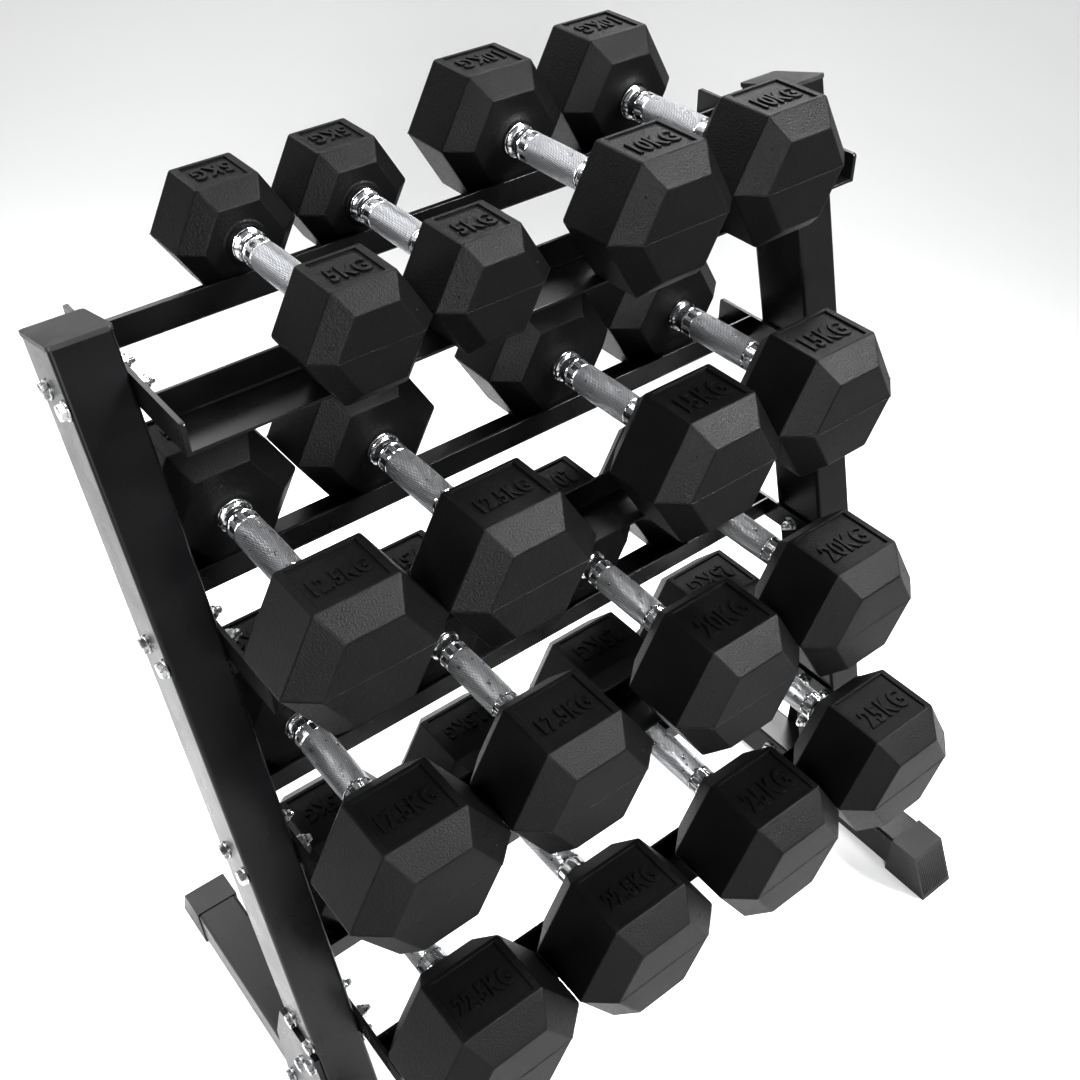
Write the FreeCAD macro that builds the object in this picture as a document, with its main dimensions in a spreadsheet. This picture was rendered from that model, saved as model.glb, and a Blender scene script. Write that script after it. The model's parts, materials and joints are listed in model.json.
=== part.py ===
"""Four-tier dumbbell rack with eight pairs of rubber hex dumbbells, in millimetres.

Frame: +Z up, +X to the right seen from the front, +Y to the back.
Origin: on the floor, in the middle of the rack's footprint.
"""
import FreeCAD, Part
import os
import Sketcher

Vector = FreeCAD.Vector
Rotation = FreeCAD.Rotation
Placement = FreeCAD.Placement

doc = FreeCAD.newDocument("dumbbell_rack")
sheet = doc.addObject("Spreadsheet::Sheet", "Sizes")

# ---------------------------------------------------------------- driving dimensions
SIZES = {
    # overall
    "rack_width": 800,          # outside to outside of the uprights
    "rack_height": 942,         # floor to the front edge of the top caps
    "lean_angle": 14.3,         # degrees that the uprights lean back
    # uprights and their caps
    "upright_wide": 50,
    "upright_deep": 68,
    "upright_setback": 112,     # base's front edge to the upright's front face, at the floor
    "tube_wall": 2,
    "tube_corner": 4,
    "top_cap_thick": 4,
    "top_cap_overhang": 0.8,
    "top_cap_plug": 14,
    "plug_clearance": 0.3,
    # base tubes and rubber foot caps
    "base_length": 530,         # between the top edges of the two foot caps
    "base_wide": 50,
    "base_high": 50,
    "sole_thick": 7.5,
    "foot_cap_wall": 1.5,
    "foot_cap_end": 4,
    "foot_cap_grip": 37,        # length of the sleeve over the tube
    "foot_cap_nose": 27,        # how far the sloping nose runs out at the floor
    # tiers: two L rails between two flat arms
    "bottom_arm_height": 229,   # floor to the top edge of the lowest arms
    "tier_pitch": 225,
    "arm_thick": 4,
    "arm_front": 84,            # arm in front of the upright's front face
    "arm_rear": 131,            # arm behind the upright's front face
    "arm_corner": 3,
    "tray_high": 28,            # height of an arm and of a rail's upright lip
    "rail_flange": 50,
    "rail_thick": 3,
    "bend_inside": 2,
    # fasteners, all M8 x 70
    "bolt_diameter": 8,
    "bolt_length": 70,
    "hole_clearance": 0.5,
    "hex_across": 13,
    "head_high": 5.3,
    "washer_wide": 17,
    "washer_thick": 1.6,
    "nut_high": 8,
    "arm_bolt_setback": 9,      # first bolt behind the upright's front face
    "arm_bolt_spacing": 36,
    # foot plates that join upright and base on the outside
    "foot_plate_thick": 5,
    "foot_plate_low": 13,
    "foot_plate_rear": 3,       # rear edge, from the origin
    "foot_plate_front": -152,   # front edge, from the origin
    "foot_plate_rear_high": 115,
    "foot_plate_front_high": 57,
    "foot_plate_shoulder": 75,
    "foot_plate_top": 205,
    "upper_bolt_height": 190,
    "upper_bolt_setback": 9,
    "middle_bolt_height": 143,
    "middle_bolt_setback": 55,
    "base_bolt_height": 40,
    "base_bolt_rear": -12,
    "base_bolt_front": -128,
    # dumbbells
    "rest_gap": 0.3,            # dumbbell above the rail it rests on
    "lip_gap": 2.5,             # rear head behind the rear lip
    "pair_gap": 0.6,            # corner to corner inside a pair
    "boss_margin": 27,          # boss edge inside the flats, so that it passes over the lip
    "boss_high": 4,
    "boss_slope": 50,
    "spigot_radius": 11,
    "spigot_depth": 38,
    "spigot_clearance": 0.05,
    "collar_wide": 6,
    "neck_wide": 8,
    "collar_step": 1,           # collar outside the grip
    "neck_step": 2.5,           # neck inside the grip
    "grip_swell": 1,            # middle of the grip outside its ends
    "plaque_margin": 7,         # at each side of the plaque
    "plaque_rim": 3.5,          # at its front and back
    "plaque_depth": 1.2,
}

# name, tier counted from the bottom, side, across flats, head length, chamfer,
# grip between the heads, grip radius, clear gap between the arm and the outer head
WEIGHTS = [
    ("05kg", 3, -1, 96.0, 81, 15.5, 127, 14.0, 99.9),
    ("10kg", 3, 1, 119.5, 94, 19.5, 136, 15.0, 85.6),
    ("12kg5", 2, -1, 131.3, 101, 21, 142, 15.5, 6.7),
    ("15kg", 2, 1, 134.0, 102, 21.5, 142, 15.5, 56.2),
    ("17kg5", 1, -1, 143.0, 111, 23, 142, 16.0, 0.8),
    ("20kg", 1, 1, 145.5, 114, 23.5, 142, 16.0, 53.1),
    ("22kg5", 0, -1, 152.0, 118, 24.5, 146, 16.5, 16.2),
    ("25kg", 0, 1, 155.0, 119.5, 25, 146, 16.5, 15.8),
]
WEIGHT_SIZES = ("across", "head_length", "chamfer", "grip", "grip_radius", "arm_gap")
TIER_NAMES = ("bottom", "lower", "upper", "top")

for weight in WEIGHTS:
    for size_name, value in zip(WEIGHT_SIZES, weight[3:]):
        SIZES[size_name + "_" + weight[0]] = value

for row, (alias, value) in enumerate(SIZES.items(), start=1):
    sheet.set("A%d" % row, alias)
    sheet.set("B%d" % row, str(value))
    sheet.setAlias("B%d" % row, alias)
doc.recompute()


# ---------------------------------------------------------------- expressions used often
def size(alias):
    """Reference to one cell of the sheet."""
    return "Sizes." + alias


LEAN = size("lean_angle") + " * 1 deg"
UPRIGHT_X = "(Sizes.rack_width / 2 - Sizes.upright_wide / 2)"
BASE_X = "(Sizes.rack_width / 2 - Sizes.base_wide / 2)"
ARM_INNER_X = "(Sizes.rack_width / 2 - Sizes.upright_wide - Sizes.arm_thick)"
RAIL_LENGTH = "2 * " + ARM_INNER_X
UPRIGHT_FOOT_Y = "(Sizes.upright_setback - Sizes.base_length / 2)"
BASE_TOP_Z = "(Sizes.sole_thick + Sizes.base_high)"
TUBE_TOP = "(Sizes.rack_height / cos(" + LEAN + ") - Sizes.top_cap_thick)"
HOLE_RADIUS = "((Sizes.bolt_diameter + Sizes.hole_clearance) / 2)"


def arm_top(tier):
    """Height of the arms' top edge on one tier."""
    return "(Sizes.bottom_arm_height + %d * Sizes.tier_pitch)" % tier


def upright_front(height):
    """Where the leaning front face of the uprights is at one height."""
    return "(%s + %s * tan(%s))" % (UPRIGHT_FOOT_Y, height, LEAN)


def number(expression):
    """Value of an expression, as a plain number in millimetres."""
    value = sheet.evalExpression(expression)
    return float(getattr(value, "Value", value))


# ---------------------------------------------------------------- modelling helpers
def new_body(label):
    body = doc.addObject("PartDesign::Body", label)
    body.Label = label
    return body


def new_sketch(body, role, name):
    plane = [f for f in body.Origin.OriginFeatures if f.Role == role][0]
    sketch = body.newObject("Sketcher::SketchObject", name)
    sketch.AttachmentSupport = [(plane, "")]
    sketch.MapMode = "FlatFace"
    return sketch


def bind(sketch, kind, *reference_and_expression):
    """Add one dimension to a sketch and tie it to the sheet."""
    reference = reference_and_expression[:-1]
    expression = reference_and_expression[-1]
    index = sketch.addConstraint(Sketcher.Constraint(kind, *reference, number(expression)))
    sketch.setExpression("Constraints[%d]" % index, expression)


def outline(sketch, corners):
    """Closed polygon whose corners are pairs of expressions."""
    points = [Vector(number(x), number(y), 0) for x, y in corners]
    count = len(points)
    first = sketch.GeometryCount
    for i in range(count):
        sketch.addGeometry(Part.LineSegment(points[i], points[(i + 1) % count]))
    for i in range(count):
        following = first + (i + 1) % count
        sketch.addConstraint(Sketcher.Constraint("Coincident", first + i, 2, following, 1))
    for i, (x, y) in enumerate(corners):
        bind(sketch, "DistanceX", -1, 1, first + i, 1, x)
        bind(sketch, "DistanceY", -1, 1, first + i, 1, y)


def rectangle(sketch, left, bottom, right, top):
    outline(sketch, [(left, bottom), (right, bottom), (right, top), (left, top)])


def circle(sketch, x, y, radius):
    centre = Vector(number(x), number(y), 0)
    index = sketch.addGeometry(Part.Circle(centre, Vector(0, 0, 1), number(radius)))
    bind(sketch, "Radius", index, radius)
    bind(sketch, "DistanceX", -1, 1, index, 3, x)
    bind(sketch, "DistanceY", -1, 1, index, 3, y)


def regular_hexagon(sketch, across, flats_level=True):
    """Hexagon about the origin; two flats are level, or two flats are upright."""
    half = "(%s / 2)" % across
    corner = "(%s / 2 / cos(30 deg))" % across
    near = "(%s / 4 / cos(30 deg))" % across
    if flats_level:
        corners = [(corner, "0"), (near, half), ("-" + near, half),
                   ("-" + corner, "0"), ("-" + near, "-" + half), (near, "-" + half)]
    else:
        corners = [("0", corner), ("-" + half, near), ("-" + half, "-" + near),
                   ("0", "-" + corner), (half, "-" + near), (half, near)]
    outline(sketch, corners)


def pad(body, sketch, length, symmetric=False, backwards=False):
    feature = body.newObject("PartDesign::Pad", sketch.Name + "_pad")
    feature.Profile = sketch
    feature.setExpression("Length", length)
    feature.Reversed = backwards
    if symmetric:
        feature.SideType = "Symmetric"
    doc.recompute()
    return feature


def pocket(body, sketch, length, symmetric=False, backwards=False):
    before = body.Shape.Volume
    feature = body.newObject("PartDesign::Pocket", sketch.Name + "_cut")
    feature.Profile = sketch
    feature.setExpression("Length", length)
    feature.Reversed = backwards
    if symmetric:
        feature.SideType = "Symmetric"
    doc.recompute()
    if body.Shape.Volume >= before:
        raise RuntimeError(sketch.Name + " removes nothing")
    return feature


def round_edges(body, radius, wanted, name):
    """Fillet the body's edges for which wanted(edge) is true."""
    base = body.Tip
    edges = ["Edge%d" % (i + 1) for i, edge in enumerate(base.Shape.Edges) if wanted(edge)]
    feature = body.newObject("PartDesign::Fillet", name)
    feature.Base = (base, edges)
    feature.setExpression("Radius", radius)
    doc.recompute()
    return feature


def runs_along(edge, direction):
    """True for a straight edge parallel to a direction."""
    if edge.Curve.TypeId != "Part::GeomLine":
        return False
    return edge.tangentAt(edge.FirstParameter).cross(direction).Length < 1e-6


def place(thing, x="0", y="0", z="0", axis=Vector(0, 0, 1), angle="0"):
    """Give an object a place tied to the sheet."""
    place_at = Vector(number(x), number(y), number(z))
    thing.Placement = Placement(place_at, Rotation(axis, number(angle)))
    thing.setExpression("Placement.Base.x", x)
    thing.setExpression("Placement.Base.y", y)
    thing.setExpression("Placement.Base.z", z)
    if angle != "0":
        thing.setExpression("Placement.Rotation.Angle", angle)


def group(label, members):
    """One sub-part made of separate equal solids."""
    compound = doc.addObject("Part::Compound", label)
    compound.Label = label
    compound.Links = members
    return compound


def linked_copy(source, name, x, y, z, angle="0"):
    """Copy of a master piece, turned about the upright axis."""
    copy = doc.addObject("App::Link", name)
    copy.LinkedObject = source
    place(copy, x, y, z, Vector(0, 0, 1), angle)
    return copy


parts = []
X_AXIS = Vector(1, 0, 0)
Y_AXIS = Vector(0, 1, 0)
Z_AXIS = Vector(0, 0, 1)


# ---------------------------------------------------------------- bolt places
def arm_bolt_places(tier):
    """Distance behind the upright's front face and height of a tier's two bolts."""
    height = "(%s - Sizes.tray_high / 2)" % arm_top(tier)
    rear = "(Sizes.arm_bolt_setback + Sizes.arm_bolt_spacing)"
    return [(size("arm_bolt_setback"), height), (rear, height)]


def foot_bolt_places():
    """The two foot-plate bolts that go through an upright."""
    return [(size("upper_bolt_setback"), size("upper_bolt_height")),
            (size("middle_bolt_setback"), size("middle_bolt_height"))]


# ---------------------------------------------------------------- uprights
def upright(side_name, side):
    """Leaning box tube, cut level at the foot to stand on the base tube."""
    body = new_body("upright_" + side_name)
    wall = size("tube_wall")
    deep = size("upright_deep")
    half_wide = "Sizes.upright_wide / 2"
    profile = new_sketch(body, "YZ_Plane", "upright_outline_" + side_name)
    foot_front = "(%s / cos(%s))" % (BASE_TOP_Z, LEAN)
    foot_rear = "((%s + %s * sin(%s)) / cos(%s))" % (BASE_TOP_Z, deep, LEAN, LEAN)
    outline(profile, [("0", foot_front), (deep, foot_rear), (deep, TUBE_TOP), ("0", TUBE_TOP)])
    pad(body, profile, size("upright_wide"), symmetric=True)
    round_edges(body, size("tube_corner"), lambda e: runs_along(e, Z_AXIS),
                "upright_corners_" + side_name)
    hollow = new_sketch(body, "YZ_Plane", "upright_hollow_" + side_name)
    rectangle(hollow, wall, "0", "(%s - %s)" % (deep, wall), "(%s + %s)" % (TUBE_TOP, wall))
    pocket(body, hollow, "2 * (%s - %s)" % (half_wide, wall), symmetric=True)
    holes = new_sketch(body, "YZ_Plane", "upright_holes_" + side_name)
    places = foot_bolt_places()
    for tier in range(len(TIER_NAMES)):
        places += arm_bolt_places(tier)
    for setback, height in places:
        along_depth = "(%s * cos(%s))" % (setback, LEAN)
        along_tube = "(%s / cos(%s) + %s * sin(%s))" % (height, LEAN, setback, LEAN)
        circle(holes, along_depth, along_tube, HOLE_RADIUS)
    pocket(body, holes, size("upright_wide"), symmetric=True)
    place(body, "%d * %s" % (side, UPRIGHT_X), UPRIGHT_FOOT_Y, "0", X_AXIS, "-Sizes.lean_angle")
    parts.append(body)


def top_cap(side_name, side):
    """Flat plastic cap with a plug inside the tube, square to the leaning upright."""
    body = new_body("top_cap_" + side_name)
    over = size("top_cap_overhang")
    inset = "(Sizes.tube_wall + Sizes.plug_clearance)"
    deep = size("upright_deep")
    cover = new_sketch(body, "YZ_Plane", "cap_cover_" + side_name)
    rectangle(cover, "-" + over, TUBE_TOP, "(%s + %s)" % (deep, over),
              "(%s + Sizes.top_cap_thick)" % TUBE_TOP)
    pad(body, cover, "Sizes.upright_wide + 2 * " + over, symmetric=True)
    round_edges(body, size("tube_corner"), lambda e: runs_along(e, Z_AXIS),
                "cap_corners_" + side_name)
    plug = new_sketch(body, "YZ_Plane", "cap_plug_" + side_name)
    rectangle(plug, inset, "(%s - Sizes.top_cap_plug)" % TUBE_TOP,
              "(%s - %s)" % (deep, inset), TUBE_TOP)
    pad(body, plug, "Sizes.upright_wide - 2 * " + inset, symmetric=True)
    place(body, "%d * %s" % (side, UPRIGHT_X), UPRIGHT_FOOT_Y, "0", X_AXIS, "-Sizes.lean_angle")
    parts.append(body)


# ---------------------------------------------------------------- base
def base_tube(side_name, side):
    """Level box tube that runs from front to back under one upright."""
    body = new_body("base_tube_" + side_name)
    half = "Sizes.base_wide / 2"
    wall = size("tube_wall")
    length = "Sizes.base_length - 2 * Sizes.foot_cap_end"
    section = new_sketch(body, "XZ_Plane", "base_section_" + side_name)
    rectangle(section, "-" + half, size("sole_thick"), half, BASE_TOP_Z)
    pad(body, section, length, symmetric=True)
    round_edges(body, size("tube_corner"), lambda e: runs_along(e, Y_AXIS),
                "base_corners_" + side_name)
    hollow = new_sketch(body, "XZ_Plane", "base_hollow_" + side_name)
    rectangle(hollow, "-(%s - %s)" % (half, wall), "(Sizes.sole_thick + %s)" % wall,
              "(%s - %s)" % (half, wall), "(%s - %s)" % (BASE_TOP_Z, wall))
    pocket(body, hollow, length, symmetric=True)
    holes = new_sketch(body, "YZ_Plane", "base_holes_" + side_name)
    for along in ("base_bolt_rear", "base_bolt_front"):
        circle(holes, size(along), size("base_bolt_height"), HOLE_RADIUS)
    pocket(body, holes, size("base_wide"), symmetric=True)
    place(body, "%d * %s" % (side, BASE_X))
    parts.append(body)


def foot_caps():
    """Four rubber sleeves with a thick sole and a sloping nose."""
    cap = new_body("foot_cap_master")
    half_length = "Sizes.base_length / 2"
    inner = "-(%s - Sizes.foot_cap_grip)" % half_length
    top = "(%s + Sizes.foot_cap_wall)" % BASE_TOP_Z
    profile = new_sketch(cap, "YZ_Plane", "foot_cap_outline")
    outline(profile, [("-(%s + Sizes.foot_cap_nose)" % half_length, "0"), (inner, "0"),
                      (inner, top), ("-(%s)" % half_length, top)])
    pad(cap, profile, "Sizes.base_wide + 2 * Sizes.foot_cap_wall", symmetric=True)
    socket = new_sketch(cap, "YZ_Plane", "foot_cap_socket")
    rectangle(socket, "-(%s - Sizes.foot_cap_end)" % half_length, size("sole_thick"),
              inner, BASE_TOP_Z)
    pocket(cap, socket, size("base_wide"), symmetric=True)
    copies = []
    for side in (-1, 1):
        for angle in ("0", "180"):
            name = "foot_cap_%d" % (len(copies) + 1)
            copies.append(linked_copy(cap, name, "%d * %s" % (side, BASE_X), "0", "0", angle))
    parts.append(group("foot_caps", copies))


def foot_plate(side_name, side):
    """Outside plate that laps the upright's foot and the base tube."""
    body = new_body("foot_plate_" + side_name)
    low = size("foot_plate_low")
    rear = size("foot_plate_rear")
    front = size("foot_plate_front")
    top = size("foot_plate_top")
    top_front = upright_front(top)
    top_rear = "(%s + Sizes.upright_deep / cos(%s))" % (top_front, LEAN)
    shape = new_sketch(body, "YZ_Plane", "foot_plate_outline_" + side_name)
    outline(shape, [(front, low), (rear, low), (rear, size("foot_plate_rear_high")),
                    (top_rear, top), (top_front, top),
                    (upright_front(size("foot_plate_shoulder")), size("foot_plate_shoulder")),
                    (front, size("foot_plate_front_high"))])
    pad(body, shape, size("foot_plate_thick"), symmetric=True)
    holes = new_sketch(body, "YZ_Plane", "foot_plate_holes_" + side_name)
    for setback, height in foot_bolt_places():
        circle(holes, "(%s + %s)" % (upright_front(height), setback), height, HOLE_RADIUS)
    for along in ("base_bolt_rear", "base_bolt_front"):
        circle(holes, size(along), size("base_bolt_height"), HOLE_RADIUS)
    pocket(body, holes, size("foot_plate_thick"), symmetric=True)
    round_edges(body, size("arm_corner"), lambda e: runs_along(e, X_AXIS),
                "foot_plate_corners_" + side_name)
    place(body, "%d * (Sizes.rack_width / 2 + Sizes.foot_plate_thick / 2)" % side)
    parts.append(body)


# ---------------------------------------------------------------- tiers
def arm(tier, side_name, side):
    """Flat bar on the upright's inner face that carries both rails."""
    label = "%s_%s_arm" % (TIER_NAMES[tier], side_name)
    body = new_body(label)
    shape = new_sketch(body, "YZ_Plane", label + "_outline")
    rectangle(shape, "-Sizes.arm_front", "-Sizes.tray_high", size("arm_rear"), "0")
    pad(body, shape, size("arm_thick"), symmetric=True)
    holes = new_sketch(body, "YZ_Plane", label + "_holes")
    for setback, height in arm_bolt_places(tier):
        circle(holes, "(%s - Sizes.tray_high / 2 * tan(%s))" % (setback, LEAN),
               "-Sizes.tray_high / 2", HOLE_RADIUS)
    pocket(body, holes, size("arm_thick"), symmetric=True)
    round_edges(body, size("arm_corner"),
                lambda e: runs_along(e, X_AXIS) and e.CenterOfMass.z > -1e-6, label + "_corners")
    place(body, "%d * (%s + Sizes.arm_thick / 2)" % (side, ARM_INNER_X),
          upright_front(arm_top(tier)), arm_top(tier))
    parts.append(body)


def rail(tier, position):
    """L rail: heads sit on its flange, its lip stands between the heads."""
    label = "%s_%s_rail" % (TIER_NAMES[tier], position)
    body = new_body(label)
    thick = size("rail_thick")
    low = "-Sizes.tray_high"
    if position == "front":
        outer = "-Sizes.arm_front"
        lip = "(-Sizes.arm_front + Sizes.rail_flange)"
        lip_inner = "(-Sizes.arm_front + Sizes.rail_flange - %s)" % thick
    else:
        outer = size("arm_rear")
        lip = "(Sizes.arm_rear - Sizes.rail_flange)"
        lip_inner = "(Sizes.arm_rear - Sizes.rail_flange + %s)" % thick
    above = "(%s + %s)" % (low, thick)
    section = new_sketch(body, "YZ_Plane", label + "_section")
    outline(section, [(outer, low), (lip, low), (lip, "0"), (lip_inner, "0"),
                      (lip_inner, above), (outer, above)])
    pad(body, section, RAIL_LENGTH, symmetric=True)
    bend_y = number(lip)
    inside_y = number(lip_inner)
    inside_z = number(above)
    round_edges(body, size("bend_inside"),
                lambda e: runs_along(e, X_AXIS) and abs(e.CenterOfMass.y - inside_y) < 1e-4
                and abs(e.CenterOfMass.z - inside_z) < 1e-4, label + "_bend_inside")
    round_edges(body, "Sizes.bend_inside + %s" % thick,
                lambda e: runs_along(e, X_AXIS) and abs(e.CenterOfMass.y - bend_y) < 1e-4
                and abs(e.CenterOfMass.z - number(low)) < 1e-4, label + "_bend_outside")
    place(body, "0", upright_front(arm_top(tier)), arm_top(tier))
    parts.append(body)


# ---------------------------------------------------------------- fasteners
def bolt_master():
    """Hexagon-head bolt along +X; the head's underside is at the origin."""
    bolt = new_body("bolt_master")
    head = new_sketch(bolt, "YZ_Plane", "bolt_head")
    regular_hexagon(head, size("hex_across"))
    pad(bolt, head, size("head_high"), backwards=True)
    shank = new_sketch(bolt, "YZ_Plane", "bolt_shank")
    circle(shank, "0", "0", "Sizes.bolt_diameter / 2")
    pad(bolt, shank, size("bolt_length"))
    return bolt


def ring_master(label, hexagonal, across, thick):
    """Washer or nut along +X from the origin, with the bolt's hole in it."""
    body = new_body(label)
    face = new_sketch(body, "YZ_Plane", label + "_face")
    if hexagonal:
        regular_hexagon(face, across)
    else:
        circle(face, "0", "0", across + " / 2")
    pad(body, face, thick)
    bore = new_sketch(body, "YZ_Plane", label + "_bore")
    circle(bore, "0", "0", HOLE_RADIUS)
    pocket(body, bore, thick, backwards=True)
    return body


def fasteners():
    """Every bolt with a washer under its head and a washer and lock nut inside."""
    bolt = bolt_master()
    washer = ring_master("washer_master", False, size("washer_wide"), size("washer_thick"))
    nut = ring_master("nut_master", True, size("hex_across"), size("nut_high"))
    outer_face = "(Sizes.rack_width / 2)"
    plate_face = "(Sizes.rack_width / 2 + Sizes.foot_plate_thick)"
    tube_inner = "(Sizes.rack_width / 2 - Sizes.upright_wide)"
    base_inner = "(Sizes.rack_width / 2 - Sizes.base_wide)"
    joints = []
    for tier in range(len(TIER_NAMES)):
        for setback, height in arm_bolt_places(tier):
            along = "(%s + %s)" % (upright_front(height), setback)
            joints.append((along, height, outer_face, ARM_INNER_X))
    for setback, height in foot_bolt_places():
        along = "(%s + %s)" % (upright_front(height), setback)
        joints.append((along, height, plate_face, tube_inner))
    for along in ("base_bolt_rear", "base_bolt_front"):
        joints.append((size(along), size("base_bolt_height"), plate_face, base_inner))
    bolts, washers, nuts = [], [], []
    for side in (-1, 1):
        angle = "0" if side < 0 else "180"
        for y, z, outside, inside in joints:
            tag = "%d" % (len(bolts) + 1)
            thick = "Sizes.washer_thick"
            head_x = "%d * (%s + %s)" % (side, outside, thick)
            nut_x = "%d * (%s - %s)" % (side, inside, thick)
            bolts.append(linked_copy(bolt, "bolt_" + tag, head_x, y, z, angle))
            washers.append(linked_copy(washer, "washer_out_" + tag, head_x, y, z, angle))
            washers.append(linked_copy(washer, "washer_in_" + tag, "%d * %s" % (side, inside),
                                       y, z, angle))
            nuts.append(linked_copy(nut, "nut_" + tag, nut_x, y, z, angle))
    parts.append(group("hex_bolts", bolts))
    parts.append(group("washers", washers))
    parts.append(group("lock_nuts", nuts))


# ---------------------------------------------------------------- dumbbells
def head_master(name):
    """Front head: hexagonal block, its inner face on the XZ plane, its length towards -Y."""
    body = new_body("head_master_" + name)
    across = size("across_" + name)
    length = size("head_length_" + name)
    chamfer = size("chamfer_" + name)
    half = "(%s / 2)" % across
    face = new_sketch(body, "XZ_Plane", "head_hexagon_" + name)
    regular_hexagon(face, across)
    block = pad(body, face, length)
    flats = [edge for edge in block.Shape.Edges if not runs_along(edge, Y_AXIS)]
    names = ["Edge%d" % (i + 1) for i, edge in enumerate(block.Shape.Edges)
             if any(edge.isSame(flat) for flat in flats)]
    bevel = body.newObject("PartDesign::Chamfer", "head_chamfer_" + name)
    bevel.Base = (block, names)
    bevel.setExpression("Size", chamfer)
    doc.recompute()
    boss = new_sketch(body, "XZ_Plane", "head_boss_" + name)
    circle(boss, "0", "0", "(%s - Sizes.boss_margin)" % half)
    cone = pad(body, boss, size("boss_high"), backwards=True)
    cone.setExpression("TaperAngle", "-Sizes.boss_slope")
    doc.recompute()
    bore = new_sketch(body, "XZ_Plane", "head_bore_" + name)
    circle(bore, "0", "0", "Sizes.spigot_radius + Sizes.spigot_clearance")
    pocket(body, bore, "2 * (Sizes.spigot_depth + Sizes.spigot_clearance)", symmetric=True)
    plaque = new_sketch(body, "XY_Plane", "head_plaque_" + name)
    plaque.setExpression("AttachmentOffset.Base.z", half)
    half_wide = "(%s / 4 / cos(30 deg) - Sizes.plaque_margin)" % across
    near = "-(%s + Sizes.plaque_rim)" % chamfer
    far = "-(%s - %s - Sizes.plaque_rim)" % (length, chamfer)
    rectangle(plaque, "-" + half_wide, far, half_wide, near)
    pocket(body, plaque, size("plaque_depth"))
    return body


def handle_master(name):
    """Turned steel handle along Y; its spigots go into the heads."""
    body = new_body("handle_master_" + name)
    half_grip = "(Sizes.grip_%s / 2)" % name
    end = "(%s + Sizes.spigot_depth)" % half_grip
    face = "(%s - Sizes.boss_high)" % half_grip
    neck_start = "(%s - Sizes.collar_wide)" % face
    grip_start = "(%s - Sizes.neck_wide)" % neck_start
    radius = size("grip_radius_" + name)
    collar = "(%s + Sizes.collar_step)" % radius
    neck = "(%s - Sizes.neck_step)" % radius
    edge = "(%s - Sizes.grip_swell)" % radius
    spigot = size("spigot_radius")
    half_profile = [(spigot, end), (spigot, face), (collar, face), (collar, neck_start),
                    (neck, neck_start), (neck, grip_start), (edge, grip_start), (radius, "0")]
    mirrored = [(x, "-" + y) for x, y in reversed(half_profile[:-1])]
    profile = new_sketch(body, "XY_Plane", "handle_profile_" + name)
    outline(profile, [("0", end)] + half_profile + mirrored + [("0", "-" + end)])
    turned = body.newObject("PartDesign::Revolution", "handle_turned_" + name)
    turned.Profile = profile
    turned.ReferenceAxis = (profile, ["V_Axis"])
    turned.Angle = 360
    doc.recompute()
    return body


def dumbbell_pair(name, tier, side):
    """Two equal dumbbells side by side, resting on both rails of one tier."""
    head = head_master(name)
    handle = handle_master(name)
    across = size("across_" + name)
    grip = size("grip_" + name)
    rear_head = doc.addObject("Part::Mirroring", "rear_head_" + name)
    rear_head.Source = head
    rear_head.Normal = Y_AXIS
    rear_head.setExpression("Base.y", grip + " / 2")
    # the heads' lower flats slope outwards at 30 degrees to upright, past the arm's top edge
    seat_depth = "(Sizes.tray_high - Sizes.rail_thick - Sizes.rest_gap)"
    half_at_arm = "((%s / 2 + %s) * tan(30 deg))" % (across, seat_depth)
    outer_x = "(%s - Sizes.arm_gap_%s - %s)" % (ARM_INNER_X, name, half_at_arm)
    corner_width = "(%s / cos(30 deg))" % across
    inner_x = "(%s - %s - Sizes.pair_gap)" % (outer_x, corner_width)
    lip_back = "(Sizes.arm_rear - Sizes.rail_flange + Sizes.rail_thick)"
    y = "(%s + %s + Sizes.lip_gap - %s)" % (upright_front(arm_top(tier)), lip_back, grip)
    z = "(%s - %s + %s / 2)" % (arm_top(tier), seat_depth, across)
    for copy, x in (("a", outer_x), ("b", inner_x)):
        label = "dumbbell_%s_%s" % (name, copy)
        heads = group(label + "_heads", [head, rear_head])
        place(heads, "%d * %s" % (side, x), y, z)
        bar = linked_copy(handle, label + "_bar", "0", grip + " / 2", "0")
        grip_bar = group(label + "_handle", [bar])
        place(grip_bar, "%d * %s" % (side, x), y, z)
        parts.extend([heads, grip_bar])


# ---------------------------------------------------------------- build
SIDES = (("left", -1), ("right", 1))
for side_name, side in SIDES:
    upright(side_name, side)
    top_cap(side_name, side)
    base_tube(side_name, side)
    foot_plate(side_name, side)
    for tier in range(len(TIER_NAMES)):
        arm(tier, side_name, side)
for tier in range(len(TIER_NAMES)):
    rail(tier, "front")
    rail(tier, "rear")
foot_caps()
fasteners()
for weight in WEIGHTS:
    dumbbell_pair(weight[0], weight[1], weight[2])
doc.recompute()

for thing in doc.Objects:
    if "Invalid" in thing.State or "Error" in thing.State:
        raise RuntimeError("failed: " + thing.Label)
for sub_part in parts:
    if sub_part.Shape.isNull() or not sub_part.Shape.isValid():
        raise RuntimeError("bad shape: " + sub_part.Label)

os.makedirs("parts", exist_ok=True)
for sub_part in parts:
    sub_part.Shape.exportStep("parts/%s.step" % sub_part.Label)
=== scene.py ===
import json
import math
import random

import bmesh
import bpy
from bpy.props import FloatProperty, FloatVectorProperty, IntProperty, PointerProperty
from mathutils import Matrix, Vector

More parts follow.
